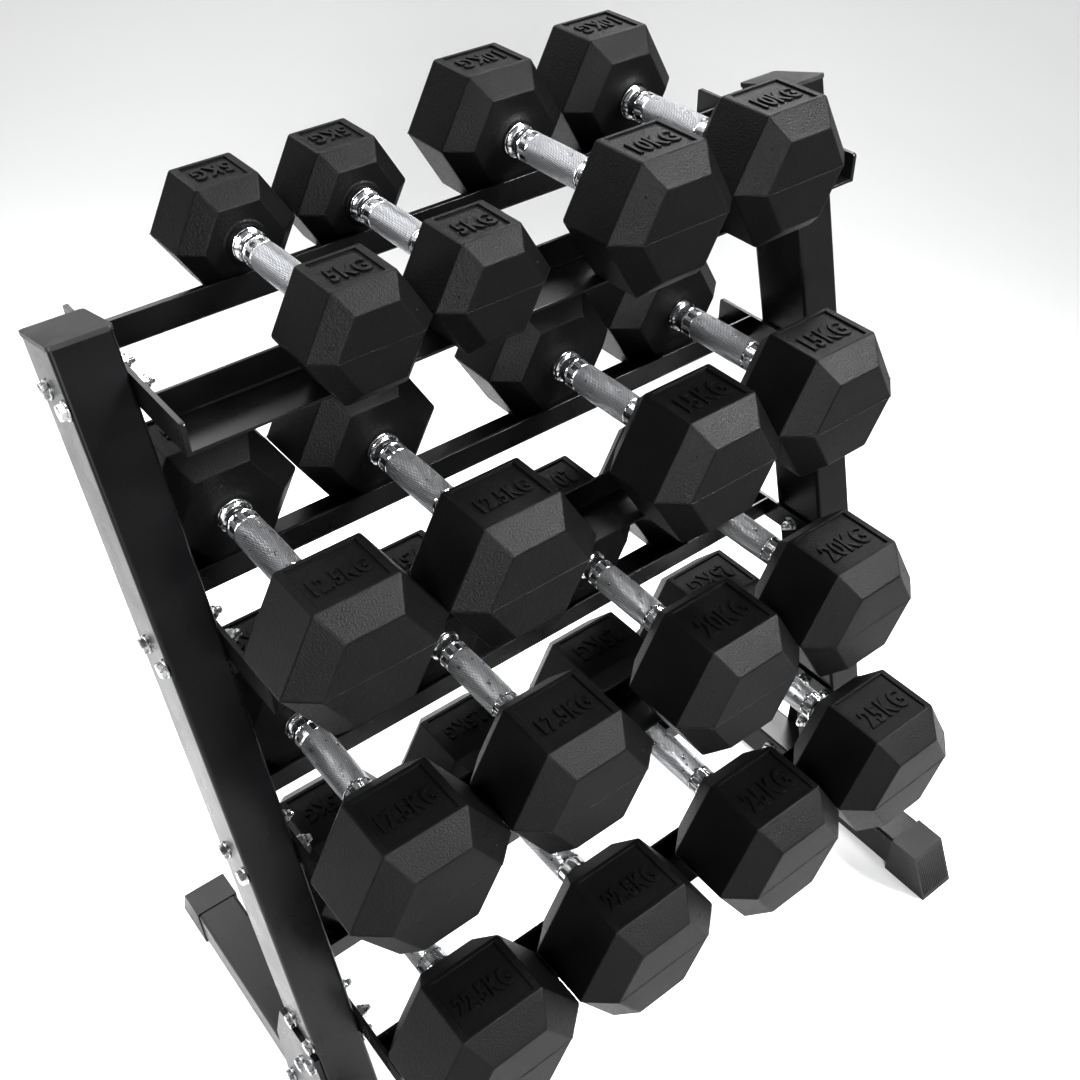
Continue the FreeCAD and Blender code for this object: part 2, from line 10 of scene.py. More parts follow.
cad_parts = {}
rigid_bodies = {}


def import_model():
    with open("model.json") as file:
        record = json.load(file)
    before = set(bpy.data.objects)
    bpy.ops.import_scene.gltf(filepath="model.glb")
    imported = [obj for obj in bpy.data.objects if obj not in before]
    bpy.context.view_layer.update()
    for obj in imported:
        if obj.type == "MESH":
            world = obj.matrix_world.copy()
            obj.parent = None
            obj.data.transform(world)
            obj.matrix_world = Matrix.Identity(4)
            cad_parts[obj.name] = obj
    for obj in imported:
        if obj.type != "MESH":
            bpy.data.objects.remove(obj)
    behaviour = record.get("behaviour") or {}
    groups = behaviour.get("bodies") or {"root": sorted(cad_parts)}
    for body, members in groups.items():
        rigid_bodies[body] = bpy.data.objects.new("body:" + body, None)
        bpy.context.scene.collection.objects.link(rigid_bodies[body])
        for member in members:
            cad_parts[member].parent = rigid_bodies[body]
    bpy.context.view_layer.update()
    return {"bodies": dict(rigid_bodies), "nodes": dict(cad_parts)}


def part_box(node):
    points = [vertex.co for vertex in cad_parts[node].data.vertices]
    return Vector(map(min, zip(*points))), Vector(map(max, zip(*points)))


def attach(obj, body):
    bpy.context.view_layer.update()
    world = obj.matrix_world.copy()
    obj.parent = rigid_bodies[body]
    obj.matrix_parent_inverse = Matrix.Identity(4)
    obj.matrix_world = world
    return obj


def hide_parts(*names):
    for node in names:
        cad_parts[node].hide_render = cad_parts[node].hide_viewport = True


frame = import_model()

bl_info = {
    "name": "Dumbbell rack",
    "version": (1, 0, 0),
    "blender": (4, 5, 0),
    "location": "3D View > Sidebar > Rack",
    "description": "Finished looks of a loaded four-tier dumbbell rack",
    "category": "Object",
}

MM = 0.001
ROOT = "rack"
UP = Vector((0, 0, 1))
HEX_SIDES = 6
# Lathed shapes turn about Y; fasteners lie along X.
TO_X = Matrix.Rotation(math.radians(-90), 4, "Z")


def srgb(code):
    """Linear colour of an sRGB hex code."""
    channels = [int(code[i:i + 2], 16) / 255 for i in (0, 2, 4)]
    return tuple(c / 12.92 if c <= 0.04045 else ((c + 0.055) / 1.055) ** 2.4 for c in channels)


# ------------------------------------------------------------------ settings
class RackFinish(bpy.types.PropertyGroup):
    """Colours and rounded edges of the rack"""
    paint_colour: FloatVectorProperty(
        name="Paint", description="Black powder coat on the frame", subtype="COLOR",
        default=srgb("070708"))
    rubber_colour: FloatVectorProperty(
        name="Rubber", description="Moulded skin of the heads", subtype="COLOR",
        default=srgb("09090A"))
    plastic_colour: FloatVectorProperty(
        name="Plastic", description="Caps on the uprights and feet", subtype="COLOR",
        default=srgb("131314"))
    sheet_edge: FloatProperty(
        name="Sheet edge", description="Rounding of cut steel edges", subtype="DISTANCE",
        default=0.5 * MM)
    cap_edge: FloatProperty(
        name="Cap edge", description="Rounding of the plastic caps", subtype="DISTANCE",
        default=1.0 * MM)


class DumbbellShape(bpy.types.PropertyGroup):
    """Form of the heads and the grip"""
    chamfer_share: FloatProperty(
        name="Chamfer", description="End chamfer as a share of the width across flats",
        default=0.162)
    edge_round: FloatProperty(
        name="Edge round", description="Rounding of the rubber edges", subtype="DISTANCE",
        default=1.5 * MM)
    plaque_margin: FloatProperty(
        name="Plaque margin", description="Plain rim at each side of the plaque",
        subtype="DISTANCE", default=7 * MM)
    plaque_depth: FloatProperty(
        name="Plaque depth", description="Sunk depth of the plaque", subtype="DISTANCE",
        default=2.2 * MM)
    spigot: FloatProperty(
        name="Spigot", description="Length of handle hidden in each head", subtype="DISTANCE",
        default=38 * MM)
    boss_high: FloatProperty(
        name="Boss height", description="Height of the cone round the handle",
        subtype="DISTANCE", default=4 * MM)
    boss_margin: FloatProperty(
        name="Boss margin", description="From the flats in to the edge of the cone",
        subtype="DISTANCE", default=27 * MM)
    windows: IntProperty(
        name="Windows", description="Polished windows round each end of the grip", default=9)


class StageSetup(bpy.types.PropertyGroup):
    """Floor, lights and lens"""
    floor_colour: FloatVectorProperty(
        name="Floor", description="Pale studio floor", subtype="COLOR", default=srgb("F4F4F4"))
    lamp_power: FloatProperty(
        name="Lamps", description="Brightness of all the soft lamps together", default=1.0)
    sun_power: FloatProperty(
        name="Fill", description="Broad light that keeps the whole floor pale", default=2.1)
    lens: FloatProperty(
        name="Lens", description="Focal length on a 36 mm wide sensor", subtype="DISTANCE_CAMERA",
        default=42.1)


# ------------------------------------------------------------------ shader helpers
def add_node(tree, kind, inputs=None, **settings):
    """Add one node; inputs maps a socket to a value, a node or an output that feeds it."""
    node = tree.nodes.new(kind)
    for key, value in settings.items():
        setattr(node, key, value)
    for key, value in (inputs or {}).items():
        socket = node.inputs[key] if isinstance(key, int) else next(
            s for s in node.inputs if s.name == key and s.enabled)
        if isinstance(value, bpy.types.Node):
            value = next(s for s in value.outputs if s.enabled)
        if isinstance(value, bpy.types.NodeSocket):
            tree.links.new(value, socket)
        elif socket.type == "RGBA":
            socket.default_value = (*value, 1)
        else:
            socket.default_value = value
    return node


def new_material(name):
    """Empty node material, and the object coordinates that its patterns follow."""
    material = bpy.data.materials.new(name)
    material.use_nodes = True
    tree = material.node_tree
    tree.nodes.clear()
    coords = add_node(tree, "ShaderNodeTexCoord").outputs["Object"]
    return material, tree, coords


def shade(colour, factor):
    """A colour made darker or lighter."""
    return tuple(min(1, c * factor) for c in colour)


# Nearly all of a noise pattern lies between these values.
NOISE_RANGE = {"From Min": 0.3, "From Max": 0.7}


# ------------------------------------------------------------------ materials
def powder_coat(colour):
    """Polyester powder coat, baked: satin black with a faint orange peel."""
    material, tree, coords = new_material("powder_coat_baked")
    # The peel has lumps 1.6 mm wide, and the film's thickness drifts over 60 mm.
    peel = add_node(tree, "ShaderNodeTexNoise", {"Vector": coords, "Scale": 1 / (1.6 * MM)})
    cloud = add_node(tree, "ShaderNodeTexNoise",
                     {"Vector": coords, "Scale": 1 / (60 * MM), "Detail": 3})
    tone = add_node(tree, "ShaderNodeMapRange", {"Value": cloud, **NOISE_RANGE})
    paint = add_node(tree, "ShaderNodeMix",
                     {"Factor": tone, "A": shade(colour, 0.7), "B": shade(colour, 1.3)},
                     data_type="RGBA")
    gloss = add_node(tree, "ShaderNodeMapRange",
                     {"Value": cloud, **NOISE_RANGE, "To Min": 0.24, "To Max": 0.32})
    relief = add_node(tree, "ShaderNodeBump",
                      {"Height": peel, "Distance": 0.03 * MM, "Strength": 0.4})
    surface = add_node(tree, "ShaderNodeBsdfPrincipled",
                       {"Base Color": paint, "Specular IOR Level": 0.25,
                        "Roughness": gloss, "Normal": relief})
    add_node(tree, "ShaderNodeOutputMaterial", {"Surface": surface})
    return material


def moulded_rubber(colour):
    """Natural rubber, compression-moulded: a dark, matt skin that glints in tiny grains."""
    material, tree, coords = new_material("rubber_compression_moulded")
    # The mould's blasted grain is about 0.6 mm; it is drawn 1.8 mm wide so that it shows.
    grain = add_node(tree, "ShaderNodeTexNoise",
                     {"Vector": coords, "Scale": 1 / (1.8 * MM), "Detail": 3,
                      "Roughness": 0.65})
    # Gas pits, 1.3 mm apart.
    pits = add_node(tree, "ShaderNodeTexVoronoi", {"Vector": coords, "Scale": 1 / (1.3 * MM)})
    # Uneven cure over 35 mm, and paler patches about 12 mm wide where heads have rubbed.
    cloud = add_node(tree, "ShaderNodeTexNoise",
                     {"Vector": coords, "Scale": 1 / (35 * MM), "Detail": 4})
    rub = add_node(tree, "ShaderNodeTexNoise",
                   {"Vector": coords, "Scale": 1 / (12 * MM), "Detail": 5, "Roughness": 0.65})
    tone = add_node(tree, "ShaderNodeMapRange", {"Value": cloud, **NOISE_RANGE})
    base = add_node(tree, "ShaderNodeMix",
                    {"Factor": tone, "A": shade(colour, 0.75), "B": shade(colour, 1.25)},
                    data_type="RGBA")
    rubbed = add_node(tree, "ShaderNodeMapRange",
                      {"Value": rub, "From Min": 0.62, "From Max": 0.82, "To Max": 0.35})
    scuff = add_node(tree, "ShaderNodeMix",
                     {"Factor": rubbed, "A": base, "B": srgb("1A1A1B")}, data_type="RGBA")
    # Painted shade: where the grain is low the colour is dimmed to about a third, standing in for
    # shade in the pits.
    height = add_node(tree, "ShaderNodeMapRange", {"Value": grain, **NOISE_RANGE})
    painted_pit_shade = add_node(tree, "ShaderNodeMix",
                       {"Factor": height, "A": shade(srgb("FFFFFF"), 0.35),
                        "B": srgb("FFFFFF")}, data_type="RGBA")
    skin = add_node(tree, "ShaderNodeMix", {"Factor": 1.0, "A": scuff, "B": painted_pit_shade},
                    data_type="RGBA", blend_type="MULTIPLY")
    gloss = add_node(tree, "ShaderNodeMapRange",
                     {"Value": grain, **NOISE_RANGE, "To Min": 0.52, "To Max": 0.34})
    fine = add_node(tree, "ShaderNodeBump",
                    {"Height": grain, "Distance": 0.55 * MM, "Strength": 1.0})
    relief = add_node(tree, "ShaderNodeBump",
                      {"Height": pits, "Distance": 0.05 * MM, "Strength": 0.4,
                       "Normal": fine})
    # Carbon black takes most of the light that a smooth rubber would give back.
    surface = add_node(tree, "ShaderNodeBsdfPrincipled",
                       {"Base Color": skin, "Specular IOR Level": 0.1,
                        "Roughness": gloss, "Normal": relief})
    add_node(tree, "ShaderNodeOutputMaterial", {"Surface": surface})
    return material


def chrome_plate():
    """Chromium plate, polished: mirror bright, a little duller where hands rub it."""
    material, tree, coords = new_material("chrome_polished_plate")
    # Wear comes and goes over 9 mm.
    wear = add_node(tree, "ShaderNodeTexNoise",
                    {"Vector": coords, "Scale": 1 / (9 * MM), "Detail": 3})
    tone = add_node(tree, "ShaderNodeMapRange", {"Value": wear, **NOISE_RANGE})
    metal = add_node(tree, "ShaderNodeMix",
                     {"Factor": tone, "A": srgb("C4C5C7"), "B": srgb("DADBDC")},
                     data_type="RGBA")
    gloss = add_node(tree, "ShaderNodeMapRange",
                     {"Value": wear, **NOISE_RANGE, "To Min": 0.09, "To Max": 0.2})
    surface = add_node(tree, "ShaderNodeBsdfPrincipled",
                       {"Base Color": metal, "Metallic": 1.0, "Roughness": gloss})
    add_node(tree, "ShaderNodeOutputMaterial", {"Surface": surface})
    return material


def knurled_chrome():
    """Steel rolled with diamond knurling, then chromed: a bright, broken sheen."""
    material, tree, coords = new_material("chrome_diamond_knurl")
    # Two sets of ridges cross at 2.3 mm along the grip; real ones are about 1.6 mm apart,
    # and are drawn coarser so that they show.
    ridges_round = 44
    pitch = 2.3 * MM
    split = add_node(tree, "ShaderNodeSeparateXYZ", {0: coords})
    angle = add_node(tree, "ShaderNodeMath", {0: split.outputs[0], 1: split.outputs[2]},
                     operation="ARCTAN2")
    along = add_node(tree, "ShaderNodeMath", {0: split.outputs[1], 1: 2 * math.pi / pitch},
                     operation="MULTIPLY")
    around = add_node(tree, "ShaderNodeMath", {0: angle, 1: ridges_round},
                      operation="MULTIPLY")
    ridges = []
    for operation in ("ADD", "SUBTRACT"):
        phase = add_node(tree, "ShaderNodeMath", {0: around, 1: along}, operation=operation)
        ridges.append(add_node(tree, "ShaderNodeMath", {0: phase}, operation="SINE"))
    diamond = add_node(tree, "ShaderNodeMath", {0: ridges[0], 1: ridges[1]},
                       operation="MAXIMUM")
    wear = add_node(tree, "ShaderNodeTexNoise",
                    {"Vector": coords, "Scale": 1 / (7 * MM), "Detail": 3})
    # Painted shade: the chrome is darkened in the sunk grooves of the knurl and left bright on
    # the diamond tips.
    painted_groove_shade = add_node(tree, "ShaderNodeMapRange",
                      {"Value": diamond, "From Min": -1, "From Max": 0.6})
    metal = add_node(tree, "ShaderNodeMix",
                     {"Factor": painted_groove_shade, "A": srgb("CBCCCE"), "B": srgb("828385")},
                     data_type="RGBA")
    gloss = add_node(tree, "ShaderNodeMapRange",
                     {"Value": wear, **NOISE_RANGE, "To Min": 0.26, "To Max": 0.38})
    relief = add_node(tree, "ShaderNodeBump",
                      {"Height": diamond, "Distance": -0.35 * MM, "Strength": 0.9})
    surface = add_node(tree, "ShaderNodeBsdfPrincipled",
                       {"Base Color": metal, "Metallic": 1.0, "Roughness": gloss,
                        "Normal": relief})
    add_node(tree, "ShaderNodeOutputMaterial", {"Surface": surface})
    return material


def zinc_plate():
    """Zinc, electroplated on rolled steel: pale and slightly cloudy."""
    material, tree, coords = new_material("zinc_electroplated")
    # The bath leaves clouds about 4 mm wide.
    cloud = add_node(tree, "ShaderNodeTexNoise",
                     {"Vector": coords, "Scale": 1 / (4 * MM), "Detail": 4})
    tone = add_node(tree, "ShaderNodeMapRange", {"Value": cloud, **NOISE_RANGE})
    metal = add_node(tree, "ShaderNodeMix",
                     {"Factor": tone, "A": srgb("B9BABC"), "B": srgb("DDDDDE")},
                     data_type="RGBA")
    gloss = add_node(tree, "ShaderNodeMapRange",
                     {"Value": cloud, **NOISE_RANGE, "To Min": 0.2, "To Max": 0.34})
    relief = add_node(tree, "ShaderNodeBump",
                      {"Height": cloud, "Distance": 0.012 * MM, "Strength": 0.3})
    surface = add_node(tree, "ShaderNodeBsdfPrincipled",
                       {"Base Color": metal, "Metallic": 1.0, "Roughness": gloss,
                        "Normal": relief})
    add_node(tree, "ShaderNodeOutputMaterial", {"Surface": surface})
    return material


def moulded_plastic(colour, name="polyethylene_injection_moulded"):
    """Polyethylene or soft rubber, injection-moulded: matt black with a fine spark grain."""
    material, tree, coords = new_material(name)
    # The spark grain is about 0.1 mm; it is drawn 0.7 mm wide so that it shows. The
    # plastic's flow leaves clouds 25 mm wide.
    grain = add_node(tree, "ShaderNodeTexNoise",
                     {"Vector": coords, "Scale": 1 / (0.7 * MM), "Detail": 3,
                      "Roughness": 0.6})
    cloud = add_node(tree, "ShaderNodeTexNoise",
                     {"Vector": coords, "Scale": 1 / (25 * MM), "Detail": 3})
    tone = add_node(tree, "ShaderNodeMapRange", {"Value": cloud, **NOISE_RANGE})
    base = add_node(tree, "ShaderNodeMix",
                    {"Factor": tone, "A": shade(colour, 0.8), "B": shade(colour, 1.25)},
                    data_type="RGBA")
    gloss = add_node(tree, "ShaderNodeMapRange",
                     {"Value": cloud, **NOISE_RANGE, "To Min": 0.4, "To Max": 0.5})
    relief = add_node(tree, "ShaderNodeBump",
                      {"Height": grain, "Distance": 0.07 * MM, "Strength": 0.6})
    surface = add_node(tree, "ShaderNodeBsdfPrincipled",
                       {"Base Color": base, "Specular IOR Level": 0.35,
                        "Roughness": gloss, "Normal": relief})
    add_node(tree, "ShaderNodeOutputMaterial", {"Surface": surface})
    return material


def nylon():
    """Nylon, extruded as the ring of a lock nut: milky white and faintly clouded."""
    material, tree, coords = new_material("nylon_extruded")
    # Clouds as wide as the ring, 3 mm.
    cloud = add_node(tree, "ShaderNodeTexNoise",
                     {"Vector": coords, "Scale": 1 / (3 * MM), "Detail": 3})
    tone = add_node(tree, "ShaderNodeMapRange", {"Value": cloud, **NOISE_RANGE})
    base = add_node(tree, "ShaderNodeMix",
                    {"Factor": tone, "A": srgb("A9ABAE"), "B": srgb("C9CACC")},
                    data_type="RGBA")
    surface = add_node(tree, "ShaderNodeBsdfPrincipled",
                       {"Base Color": base, "Roughness": 0.45})
    add_node(tree, "ShaderNodeOutputMaterial", {"Surface": surface})
    return material


def floor_paint(colour):
    """Emulsion, rolled on the studio floor: pale and barely mottled."""
    material, tree, coords = new_material("emulsion_rolled_floor")
    # The roller's passes drift over 0.8 m.
    cloud = add_node(tree, "ShaderNodeTexNoise", {"Vector": coords, "Scale": 1 / 0.8})
    tone = add_node(tree, "ShaderNodeMapRange", {"Value": cloud, **NOISE_RANGE})
    base = add_node(tree, "ShaderNodeMix",
                    {"Factor": tone, "A": shade(colour, 0.985), "B": colour},
                    data_type="RGBA")
    surface = add_node(tree, "ShaderNodeBsdfPrincipled",
                       {"Base Color": base, "Roughness": 0.9})
    add_node(tree, "ShaderNodeOutputMaterial", {"Surface": surface})
    return material


# ------------------------------------------------------------------ mesh helpers
def new_piece(name, mesh, materials, body, location=(0, 0, 0)):
    """Object from a mesh, riding a body and taking its finish from a slot."""
    piece = bpy.data.objects.new(name, mesh)
    bpy.context.scene.collection.objects.link(piece)
    piece.location = location
    if not mesh.materials:
        for material in materials:
            mesh.materials.append(material)
    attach(piece, body)
    return piece


def to_mesh(shape, name, smooth_angle=35):
    """Finish a bmesh, smooth where faces meet gently."""
    shape.normal_update()
    limit = math.radians(smooth_angle)
    for edge in shape.edges:
        edge.smooth = len(edge.link_faces) == 2 and edge.calc_face_angle(0) < limit
    for face in shape.faces:
        face.smooth = True
    mesh = bpy.data.meshes.new(name)
    shape.to_mesh(mesh)
    shape.free()
    return mesh


def add_bevel(piece, width, segments=2, weighted=False):
    """Round the edges where faces meet sharply, or only the weighted ones."""
    bevel = piece.modifiers.new("edge_round", "BEVEL")
    bevel.width = width
    bevel.segments = segments
    bevel.limit_method = "WEIGHT" if weighted else "ANGLE"
    bevel.angle_limit = math.radians(32)
    bevel.harden_normals = True
    bevel.use_clamp_overlap = True


def islands(node_name):
    """Boxes of the separate solids in one CAD node, in a fixed order."""
    shape = bmesh.new()
    shape.from_mesh(frame["nodes"][node_name].data)
    bmesh.ops.remove_doubles(shape, verts=shape.verts, dist=1e-6)
    found = []
    waiting = set(shape.verts)
    while waiting:
        queue = [waiting.pop()]
        points = []
        while queue:
            vertex = queue.pop()
            points.append(vertex.co.copy())
            for edge in vertex.link_edges:
                other = edge.other_vert(vertex)
                if other in waiting:
                    waiting.discard(other)
                    queue.append(other)
        low = Vector([min(p[i] for p in points) for i in range(3)])
        high = Vector([max(p[i] for p in points) for i in range(3)])
        found.append((low, high))
    shape.free()
    return sorted(found, key=lambda box: [round(c, 5) for c in box[0]])


def lathe(shape, profile, segments, place=Matrix.Identity(4), material=0, warp=None):
    """Turn (radius, height) points about +Y.

    warp(ring, step) changes a point's radius, and material(ring, step) picks a finish.
    """
    rings = []
    for ring, (radius, height) in enumerate(profile):
        points = []
        for step in range(segments):
            angle = 2 * math.pi * step / segments
            r = radius + (warp(ring, step) if warp else 0)
            at = Vector((r * math.sin(angle), height, r * math.cos(angle)))
            points.append(shape.verts.new(place @ at))
        rings.append(points)
    for ring in range(len(rings) - 1):
        for step in range(segments):
            following = (step + 1) % segments
            corners = (rings[ring][step], rings[ring][following],
                       rings[ring + 1][following], rings[ring + 1][step])
            face = shape.faces.new(corners)
            face.material_index = material(ring, step) if callable(material) else material


def prism(shape, outline, near, far, place=Matrix.Identity(4)):
    """Extrude a closed outline of (a, b) points along the first axis."""
    start = [shape.verts.new(place @ Vector((near, a, b))) for a, b in outline]
    end = [shape.verts.new(place @ Vector((far, a, b))) for a, b in outline]
    shape.faces.new(start)
    shape.faces.new(list(reversed(end)))
    count = len(outline)
    for i in range(count):
        shape.faces.new((start[i], end[i], end[(i + 1) % count], start[(i + 1) % count]))


def merge(shape, mesh, place):
    """Add a copy of a mesh, moved, to a bmesh."""
    extra = bmesh.new()
    extra.from_mesh(mesh)
    extra.transform(place)
    joined = bpy.data.meshes.new("joined")
    extra.to_mesh(joined)
    extra.free()
    shape.from_mesh(joined)
    bpy.data.meshes.remove(joined)


# ------------------------------------------------------------------ dumbbells
class Dumbbell:
    """Sizes of one dumbbell, read from its CAD nodes."""

    def __init__(self, body, form):
        low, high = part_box(body + "_heads")
        bar_low, bar_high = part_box(body + "_handle")
        self.across = high[2] - low[2]
        self.grip = bar_high[1] - bar_low[1] - 2 * form.spigot
        self.length = (high[1] - low[1] - self.grip) / 2
        self.chamfer = form.chamfer_share * self.across
        self.collar = (bar_high[0] - bar_low[0]) / 2
        # The handle's own radius; the collar stands 1 mm above it.
        self.radius = self.collar - 1 * MM
        self.centre = (Vector(low) + Vector(high)) / 2
        self.kind = body.split("_")[1]
        self.label = self.kind.lstrip("0").replace("kg5", ".5kg").upper()


def hexagon(across, y):
    """Corners of a hexagon across the flats, at a depth y, with flats at top and bottom."""
    radius = across / math.sqrt(3)
    corners = [math.radians(60 * k) for k in range(HEX_SIDES)]
    return [Vector((radius * math.cos(a), y, radius * math.sin(a))) for a in corners]


def head_block(shape, size, form):
    """Hexagonal block with chamfered ends and a sunk plaque in the top flat.

    Returns the plaque's middle, half its width and half its depth.
    """
    inner = -size.grip / 2
    outer = inner - size.length
    narrow = size.across - 2 * size.chamfer
    places = [(narrow, inner), (size.across, inner - size.chamfer),
              (size.across, outer + size.chamfer), (narrow, outer)]
    rings = [[shape.verts.new(p) for p in hexagon(across, y)] for across, y in places]
    shape.faces.new(list(reversed(rings[0])))
    shape.faces.new(rings[3])
    for ring in range(3):
        for k in range(HEX_SIDES):
            following = (k + 1) % HEX_SIDES
            if ring == 1 and k == 1:
                # The top flat is left open for the plaque.
                continue
            shape.faces.new((rings[ring][k], rings[ring][following],
                             rings[ring + 1][following], rings[ring + 1][k]))
    weight = shape.edges.layers.float.get("bevel_weight_edge")
    for edge in shape.edges:
        edge[weight] = 1.0
    top = size.across / 2
    half = size.across / (2 * math.sqrt(3)) - form.plaque_margin
    rim = form.plaque_margin / 2
    rear = inner - size.chamfer - rim
    front = outer + size.chamfer + rim
    corners = [(half, rear), (-half, rear), (-half, front), (half, front)]
    lip = [shape.verts.new((x, y, top)) for x, y in corners]
    bed = [shape.verts.new((x, y, top - form.plaque_depth)) for x, y in corners]
    flat = [rings[1][1], rings[1][2], rings[2][2], rings[2][1]]
    shape.faces.new(bed)
    for k in range(4):
        following = (k + 1) % 4
        shape.faces.new((flat[k], flat[following], lip[following], lip[k]))
        shape.faces.new((lip[k], lip[following], bed[following], bed[k]))
        # Share of the full edge rounding that each edge gets.
        for ends, share in (((lip[k], lip[following]), 0.33),
                            ((bed[k], bed[following]), 0.2), ((lip[k], bed[k]), 0.2)):
            shape.edges.get(ends)[weight] = share
    bmesh.ops.recalc_face_normals(shape, faces=shape.faces)
    return (front + rear) / 2, half, (rear - front) / 2


def parting_line(shape, size, seed):
    """Thin uneven flash where the two halves of the mould met, at mid-height."""
    chance = random.Random(seed)
    inner = -size.grip / 2
    outer = inner - size.length
    wide = size.across / math.sqrt(3)
    narrow = (size.across - 2 * size.chamfer) / math.sqrt(3)
    path = [(-wide, outer + size.chamfer), (-narrow, outer), (narrow, outer),
            (wide, outer + size.chamfer)]
    points = []
    for (x0, y0), (x1, y1) in zip(path, path[1:]):
        steps = max(3, int(abs(x1 - x0) / (4 * MM)))
        for i in range(steps):
            t = i / steps
            points.append(Vector((x0 + (x1 - x0) * t, y0 + (y1 - y0) * t, 0)))
    points.append(Vector((path[-1][0], path[-1][1], 0)))
    rings = []
    half = 0.45 * MM
    for i, point in enumerate(points):
        ahead = points[min(i + 1, len(points) - 1)] - points[max(i - 1, 0)]
        outward = ahead.cross(UP).normalized()
        lift = chance.uniform(0.15, 0.5) * MM
        sway = chance.uniform(-0.35, 0.35) * MM
        root = point - outward * 0.2 * MM
        rings.append([shape.verts.new(root + UP * (sway + half)),
                      shape.verts.new(point + UP * sway + outward * lift),
                      shape.verts.new(root + UP * (sway - half))])
    for a, b in zip(rings, rings[1:]):
        for k in range(2):
            shape.faces.new((a[k], a[k + 1], b[k + 1], b[k]))


def vent_nibs(shape, size, seed):
    """Little stubs left by the mould's air vents on the sloping flats."""
    chance = random.Random(seed)
    outer = -size.grip / 2 - size.length
    lean = math.cos(math.radians(30))
    for side in (-1, 1):
        along = outer + size.chamfer * chance.uniform(0.35, 0.65)
        depth = (along - outer) - size.chamfer
        normal = Vector((side * lean, -1, 0.5)).normalized()
        flat = Vector((side * lean, 0, 0.5))
        at = flat * (size.across / 2 + depth) + Vector((0, along, 0))
        slide = chance.uniform(-0.12, 0.12) * size.across
        at += Vector((-side * 0.5, 0, lean)) * slide
        place = Matrix.Translation(at) @ normal.to_track_quat("Y", "X").to_matrix().to_4x4()
        lathe(shape, [(1.3 * MM, -0.2 * MM), (1.0 * MM, 0.25 * MM), (0.5 * MM, 0.5 * MM),
                      (0.01 * MM, 0.55 * MM)], 10, place)


def raised_label(text, room_wide, room_deep, thick):
    """Raised figures that fill a plaque, lying flat and centred."""
    curve = bpy.data.curves.new("label", "FONT")
    curve.body = text
    curve.extrude = thick / 2
    curve.bevel_depth = 0.15 * MM
    # Fattens the strokes to the weight of cast figures.
    curve.offset = 0.016 * room_deep
    curve.size = room_deep * 0.86
    curve.resolution_u = 3
    curve.space_character = 1.08
    holder = bpy.data.objects.new("label", curve)
    bpy.context.scene.collection.objects.link(holder)
    bpy.context.view_layer.update()
    mesh = bpy.data.meshes.new_from_object(holder.evaluated_get(
        bpy.context.evaluated_depsgraph_get()))
    bpy.data.objects.remove(holder)
    bpy.data.curves.remove(curve)
    xs = [v.co.x for v in mesh.vertices]
    ys = [v.co.y for v in mesh.vertices]
    wide = max(xs) - min(xs)
    deep = max(ys) - min(ys)
    # The figures fill the plaque, but are never stretched out of a plain shape.
    scale_x = min(room_wide / wide, 1.25 * room_deep / deep)
    scale_y = min(room_deep / deep, 1.5 * scale_x)
    centre = Vector(((max(xs) + min(xs)) / 2, (max(ys) + min(ys)) / 2, 0))
    mesh.transform(Matrix.Diagonal((scale_x, scale_y, 1, 1)) @ Matrix.Translation(-centre))
    return mesh


def boss(shape, size, form):
    """Shallow cone that rises round the handle on the inner face."""
    base = size.across / 2 - form.boss_margin
    rim = size.collar + 2.2 * MM
    inner = -size.grip / 2
    top = form.boss_high - 0.2 * MM
    # Share of the way in to the rim, and the height there.
    slope = ((0, -0.1 * MM), (0.15, 0.02 * MM), (0.35, 0.25 * MM), (0.55, 0.7 * MM),
             (0.72, 1.4 * MM), (0.86, 2.4 * MM), (0.96, top - 0.5 * MM))
    profile = [(base + (rim - base) * share, inner + height) for share, height in slope]
    profile += [(rim - 0.4 * MM, inner + top), (size.collar + 0.3 * MM, inner + top),
                (size.collar - 0.2 * MM, inner + top - 0.6 * MM),
                (size.collar - 0.2 * MM, inner - 0.2 * MM)]
    lathe(shape, profile, 72)


def head_mesh(size, form):
    """Both heads of one dumbbell about its centre; the rear one is turned round."""
    shape = bmesh.new()
    shape.edges.layers.float.new("bevel_weight_edge")
    middle, half_wide, half_deep = head_block(shape, size, form)
    boss(shape, size, form)
    parting_line(shape, size, size.kind)
    vent_nibs(shape, size, size.kind + "nib")
    thick = 0.75 * form.plaque_depth
    label = raised_label(size.label, 1.62 * half_wide, 1.12 * half_deep, thick)
    at = Vector((0, middle - 0.12 * half_deep,
                 size.across / 2 - form.plaque_depth + thick / 2 + 0.1 * MM))
    merge(shape, label, Matrix.Translation(at))
    bpy.data.meshes.remove(label)
    one = to_mesh(shape, "one_head")
    both = bmesh.new()
    both.edges.layers.float.new("bevel_weight_edge")
    both.from_mesh(one)
    merge(both, one, Matrix.Rotation(math.pi, 4, "Z"))
    bpy.data.meshes.remove(one)
    return to_mesh(both, "heads_" + size.kind)


PLAIN, KNURL, WINDOW = range(3)
